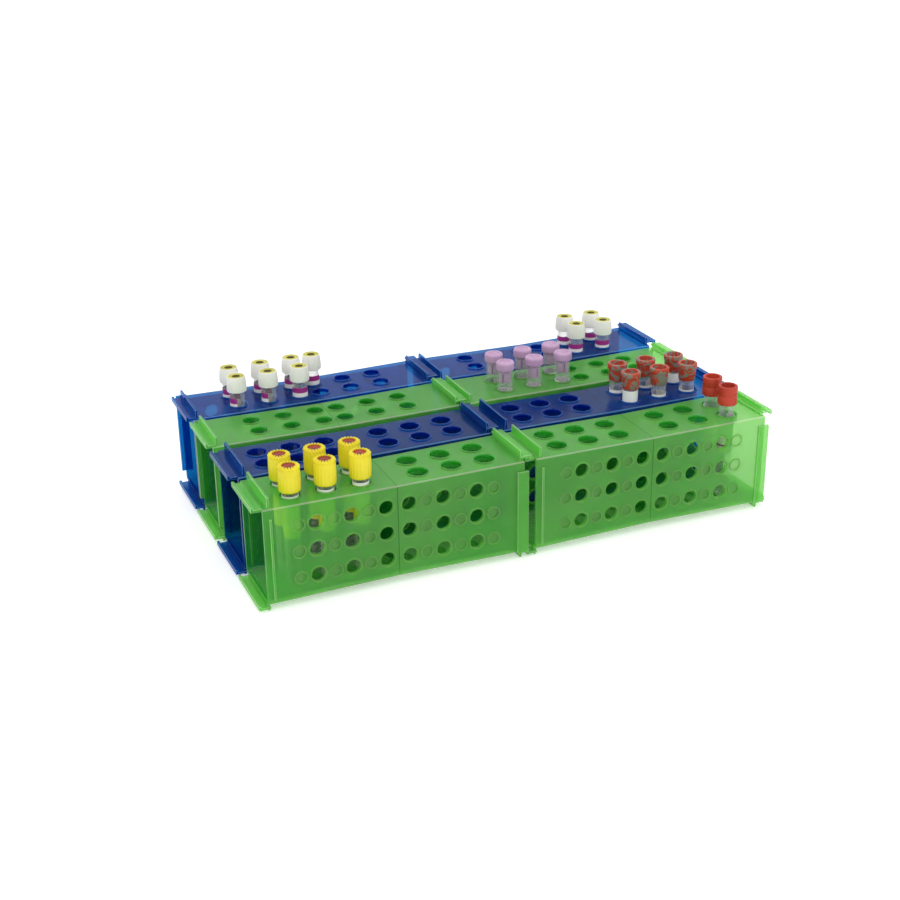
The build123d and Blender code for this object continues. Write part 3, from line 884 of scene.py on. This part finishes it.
def seenRays(tree):
    # the camera's rays, straight or by way of gloss and glass
    rays = tree.nodes.new("ShaderNodeLightPath").outputs
    direct = calc(tree, "MAXIMUM", rays["Is Camera Ray"], rays["Is Glossy Ray"])
    return rays, calc(tree, "MAXIMUM", direct, rays["Is Transmission Ray"])


floorLook = dict(reach=9.0, drop=0.0003, low=seen(240, 240, 240), high=seen(246, 246, 246), cloud=3.0,
                 grain=200.0, roughness=0.9, swing=0.05, bump=0.0, glow=0.14, bareGlow=0.22)


def makeStage():
    bm = bmesh.new()
    bmesh.ops.create_grid(bm, x_segments=1, y_segments=1, size=floorLook["reach"])
    mesh = meshFrom(bm, "floor")
    mesh.transform(Matrix.Translation((0, 0, -floorLook["drop"])))
    floor = bpy.data.objects.new("floor", mesh)
    scene.collection.objects.link(floor)
    material, tree, surface = newMaterial("floorPaper")
    tree.links.new(useCloud(tree, surface, floorLook), surface.inputs["Base Color"])
    surface.inputs["Specular IOR Level"].default_value = 0.0
    surface.inputs["Emission Color"].default_value = (1, 1, 1, 1)
    rays, seenRay = seenRays(tree)
    bareView = calc(tree, "LESS_THAN", rays["Transparent Depth"], 0.5)  # seen through a rack, it glows less
    glow = calc(tree, "ADD", calc(tree, "MULTIPLY", bareView, floorLook["bareGlow"]), floorLook["glow"])
    tree.links.new(calc(tree, "MULTIPLY", seenRay, glow), surface.inputs["Emission Strength"])
    mesh.materials.append(material)


roomLight = dict(all=0.75, seen=0.25)


def makeWorld():
    world = bpy.data.worlds.new("studio")
    scene.world = world
    world.use_nodes = True
    tree = world.node_tree
    tree.nodes.clear()
    seenRay = seenRays(tree)[1]
    strength = calc(tree, "ADD", calc(tree, "MULTIPLY", seenRay, roomLight["seen"]), roomLight["all"])
    back = addNode(tree, "ShaderNodeBackground", {"Color": (1, 1, 1, 1), "Strength": strength})
    tree.links.new(back.outputs[0], tree.nodes.new("ShaderNodeOutputWorld").inputs[0])


lamps = dict(
    keyLight=dict(place=(-1.2, -1.6, 1.9), size=1.4, power=20),
    fillLight=dict(place=(1.7, -1.2, 1.3), size=1.6, power=8),
    topLight=dict(place=(0.2, 0.9, 2.2), size=1.6, power=8),
)
lampTarget = Vector((0, 0, 0.05))


def addLamp(name, place, size, power):
    lamp = bpy.data.lights.new(name, "AREA")
    lamp.shape, lamp.size, lamp.energy = "DISK", size, power
    holder = bpy.data.objects.new(name, lamp)
    scene.collection.objects.link(holder)
    holder.location = place
    holder.rotation_euler = (lampTarget - Vector(place)).to_track_quat("-Z", "Y").to_euler()


# the photograph's view: degrees, millimetres, and a lens and sensor in millimetres
cameraSetup = dict(yaw=22.974, pitch=23.441, roll=-0.728, place=(-481.0, -1097.6, 565.3), lens=59.56,
                   sensor=36.0, farthest=50.0)


def addCamera():
    c = cameraSetup
    yaw, pitch, roll = (math.radians(c[k]) for k in ("yaw", "pitch", "roll"))
    ahead = Vector((math.sin(yaw) * math.cos(pitch), math.cos(yaw) * math.cos(pitch), -math.sin(pitch)))
    right = Vector((math.cos(yaw), -math.sin(yaw), 0))
    up = right.cross(ahead)
    side = right * math.cos(roll) + up * math.sin(roll)
    top = up * math.cos(roll) - right * math.sin(roll)
    data = bpy.data.cameras.new("photoView")
    data.lens, data.sensor_width, data.clip_end = c["lens"], c["sensor"], c["farthest"]
    camera = bpy.data.objects.new("photoView", data)
    scene.collection.objects.link(camera)
    turn = Matrix((side, top, -ahead)).transposed().to_4x4()
    camera.matrix_world = Matrix.Translation(Vector(c["place"]) * mm) @ turn
    scene.camera = camera


makeStage()
makeWorld()
for name, lamp in lamps.items():
    addLamp(name, **lamp)
addCamera()
scene.view_settings.view_transform = "Standard"
print("stage, light and camera ready")
